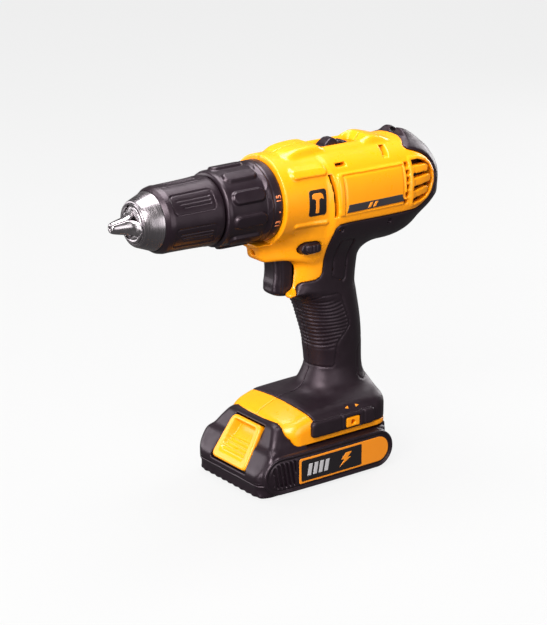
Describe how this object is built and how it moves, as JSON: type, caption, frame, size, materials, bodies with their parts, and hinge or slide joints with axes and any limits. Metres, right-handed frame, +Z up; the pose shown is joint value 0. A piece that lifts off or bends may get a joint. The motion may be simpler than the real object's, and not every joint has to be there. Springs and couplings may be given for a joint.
{
  "type": "cordless drill",
  "caption": "Compact cordless hammer drill driver: keyless chuck, torque collar, yellow and black housing, pistol grip and slide-on battery pack.",
  "frame": {"origin": "under the middle of the closed tool's box, on the plane of the battery pack's underside", "axes": "+Z up from the battery pack to the barrel, +X from the chuck towards the rear of the motor, the chuck points to -X, -Y is the tool's left side"},
  "size_m": [0.2416, 0.077, 0.2133],
  "materials": {
    "yellow_shell": "satin",
    "soft_black": "matte",
    "black_plastic": "satin",
    "steel": "brushed",
    "dark_steel": "satin",
    "greased_steel": "satin",
    "copper": "satin",
    "cell_wrap": "gloss",
    "board_green": "satin",
    "lens": "gloss"
  },
  "bodies": {
    "body": {"housing_left": "yellow_shell", "housing_right": "yellow_shell", "grip_overmould_left": "soft_black", "grip_overmould_right": "soft_black", "housing_screw_1": "dark_steel", "housing_screw_2": "dark_steel", "housing_screw_3": "dark_steel", "housing_screw_4": "dark_steel", "housing_screw_5": "dark_steel", "work_light_lens": "lens", "gearbox_case": "dark_steel", "spindle_bearing": "steel", "ring_gear_1": "greased_steel", "ring_gear_3": "greased_steel", "clutch_spring": "steel", "clutch_nut": "dark_steel", "switch_module": "black_plastic", "motor_can": "dark_steel", "brush_holder": "black_plastic", "terminal_block": "black_plastic"},
    "speed_shift": {"speed_selector": "black_plastic", "shift_fork": "steel", "ring_gear_2": "greased_steel"},
    "direction": {"direction_button": "black_plastic"},
    "trigger_lever": {"trigger": "black_plastic"},
    "collar": {"torque_collar": "black_plastic"},
    "spindle": {"output_spindle": "steel", "chuck_body": "steel", "nose_ring": "steel", "chuck_screw": "dark_steel"},
    "sleeve": {"chuck_sleeve": "black_plastic", "chuck_nut": "steel"},
    "jaw_a": {"jaw_1": "steel"},
    "jaw_b": {"jaw_2": "steel"},
    "jaw_c": {"jaw_3": "steel"},
    "second_carrier": {"carrier_2": "greased_steel"},
    "first_carrier": {"carrier_1": "greased_steel"},
    "rotor": {"armature": "copper", "motor_shaft": "steel", "motor_pinion": "greased_steel", "cooling_fan": "black_plastic"},
    "battery": {"battery_case_top": "black_plastic", "battery_case_base": "black_plastic", "battery_cell_1": "cell_wrap", "battery_cell_2": "cell_wrap", "battery_cell_3": "cell_wrap", "battery_cell_4": "cell_wrap", "battery_cell_5": "cell_wrap", "battery_board": "board_green", "latch_spring": "steel"},
    "latch": {"battery_latch": "yellow_shell"},
    "planet_1a_body": {"planet_1a": "greased_steel"},
    "planet_1b_body": {"planet_1b": "greased_steel"},
    "planet_1c_body": {"planet_1c": "greased_steel"},
    "planet_2a_body": {"planet_2a": "greased_steel"},
    "planet_2b_body": {"planet_2b": "greased_steel"},
    "planet_2c_body": {"planet_2c": "greased_steel"},
    "planet_3a_body": {"planet_3a": "greased_steel"},
    "planet_3b_body": {"planet_3b": "greased_steel"},
    "planet_3c_body": {"planet_3c": "greased_steel"}
  },
  "joints": [
    {"name": "motor_spin", "type": "hinge", "parent": "body", "child": "rotor", "pos_m": [0.0552, 0, 0.182], "axis": [1, 0, 0], "continuous": true},
    {"name": "spindle_spin", "type": "hinge", "parent": "body", "child": "spindle", "pos_m": [-0.0248, 0, 0.182], "axis": [1, 0, 0], "continuous": true},
    {"name": "carrier_2_spin", "type": "hinge", "parent": "body", "child": "second_carrier", "pos_m": [0.0037, 0, 0.182], "axis": [1, 0, 0], "continuous": true},
    {"name": "carrier_1_spin", "type": "hinge", "parent": "body", "child": "first_carrier", "pos_m": [0.0157, 0, 0.182], "axis": [1, 0, 0], "continuous": true},
    {"name": "planet_1a_spin", "type": "hinge", "parent": "first_carrier", "child": "planet_1a_body", "pos_m": [0.0216, 0, 0.1925], "axis": [1, 0, 0], "continuous": true},
    {"name": "planet_1b_spin", "type": "hinge", "parent": "first_carrier", "child": "planet_1b_body", "pos_m": [0.0216, 0.00909, 0.17675], "axis": [1, 0, 0], "continuous": true},
    {"name": "planet_1c_spin", "type": "hinge", "parent": "first_carrier", "child": "planet_1c_body", "pos_m": [0.0216, -0.00909, 0.17675], "axis": [1, 0, 0], "continuous": true},
    {"name": "planet_2a_spin", "type": "hinge", "parent": "second_carrier", "child": "planet_2a_body", "pos_m": [0.0102, 0, 0.1925], "axis": [1, 0, 0], "continuous": true},
    {"name": "planet_2b_spin", "type": "hinge", "parent": "second_carrier", "child": "planet_2b_body", "pos_m": [0.0102, 0.00909, 0.17675], "axis": [1, 0, 0], "continuous": true},
    {"name": "planet_2c_spin", "type": "hinge", "parent": "second_carrier", "child": "planet_2c_body", "pos_m": [0.0102, -0.00909, 0.17675], "axis": [1, 0, 0], "continuous": true},
    {"name": "planet_3a_spin", "type": "hinge", "parent": "spindle", "child": "planet_3a_body", "pos_m": [-0.0029, 0, 0.1925], "axis": [1, 0, 0], "continuous": true},
    {"name": "planet_3b_spin", "type": "hinge", "parent": "spindle", "child": "planet_3b_body", "pos_m": [-0.0029, 0.00909, 0.17675], "axis": [1, 0, 0], "continuous": true},
    {"name": "planet_3c_spin", "type": "hinge", "parent": "spindle", "child": "planet_3c_body", "pos_m": [-0.0029, -0.00909, 0.17675], "axis": [1, 0, 0], "continuous": true},
    {"name": "sleeve_turn", "type": "hinge", "parent": "spindle", "child": "sleeve", "pos_m": [-0.0728, 0, 0.182], "axis": [1, 0, 0], "range_deg": [0, 3600]},
    {"name": "jaw_a_slide", "type": "slide", "parent": "spindle", "child": "jaw_a", "axis": [0.9563, 0.1003, 0.2746], "range_m": [0, 0.02]},
    {"name": "jaw_b_slide", "type": "slide", "parent": "spindle", "child": "jaw_b", "axis": [0.9563, 0.1877, -0.2241], "range_m": [0, 0.02]},
    {"name": "jaw_c_slide", "type": "slide", "parent": "spindle", "child": "jaw_c", "axis": [0.9563, -0.288, -0.0505], "range_m": [0, 0.02]},
    {"name": "collar_turn", "type": "hinge", "parent": "body", "child": "collar", "pos_m": [-0.0318, 0, 0.182], "axis": [1, 0, 0], "range_deg": [-150, 150]},
    {"name": "trigger_pull", "type": "slide", "parent": "body", "child": "trigger_lever", "axis": [1, 0, 0], "range_m": [0, 0.0065], "stiffness_N_per_m": 900, "springref_m": -0.003},
    {"name": "direction_slide", "type": "slide", "parent": "body", "child": "direction", "axis": [0, 1, 0], "range_m": [-0.004, 0.004]},
    {"name": "speed_slide", "type": "slide", "parent": "body", "child": "speed_shift", "axis": [1, 0, 0], "range_m": [0, 0.005]},
    {"name": "battery_slide", "type": "slide", "parent": "body", "child": "battery", "axis": [-1, 0, 0], "range_m": [0, 0.085]},
    {"name": "latch_press", "type": "hinge", "parent": "battery", "child": "latch", "pos_m": [-0.0376, 0, 0.0136], "axis": [0, 1, 0], "range_deg": [0, 5], "stiffness_Nm_per_rad": 0.6, "springref_deg": -8.59, "deforming": ["latch_spring"]}
  ],
  "couplings": [
    {"joint": "spindle_spin", "follows": "motor_spin", "ratio": 0.023324},
    {"joint": "carrier_2_spin", "follows": "motor_spin", "ratio": 0.081633},
    {"joint": "carrier_1_spin", "follows": "motor_spin", "ratio": 0.28571},
    {"joint": "planet_1a_spin", "follows": "motor_spin", "ratio": -0.95238},
    {"joint": "planet_1b_spin", "follows": "motor_spin", "ratio": -0.95238},
    {"joint": "planet_1c_spin", "follows": "motor_spin", "ratio": -0.95238},
    {"joint": "planet_2a_spin", "follows": "motor_spin", "ratio": -0.27211},
    {"joint": "planet_2b_spin", "follows": "motor_spin", "ratio": -0.27211},
    {"joint": "planet_2c_spin", "follows": "motor_spin", "ratio": -0.27211},
    {"joint": "planet_3a_spin", "follows": "motor_spin", "ratio": -0.077745},
    {"joint": "planet_3b_spin", "follows": "motor_spin", "ratio": -0.077745},
    {"joint": "planet_3c_spin", "follows": "motor_spin", "ratio": -0.077745},
    {"joint": "jaw_a_slide", "follows": "sleeve_turn", "m_per_rad": 0.00031831},
    {"joint": "jaw_b_slide", "follows": "sleeve_turn", "m_per_rad": 0.00031831},
    {"joint": "jaw_c_slide", "follows": "sleeve_turn", "m_per_rad": 0.00031831}
  ]
}
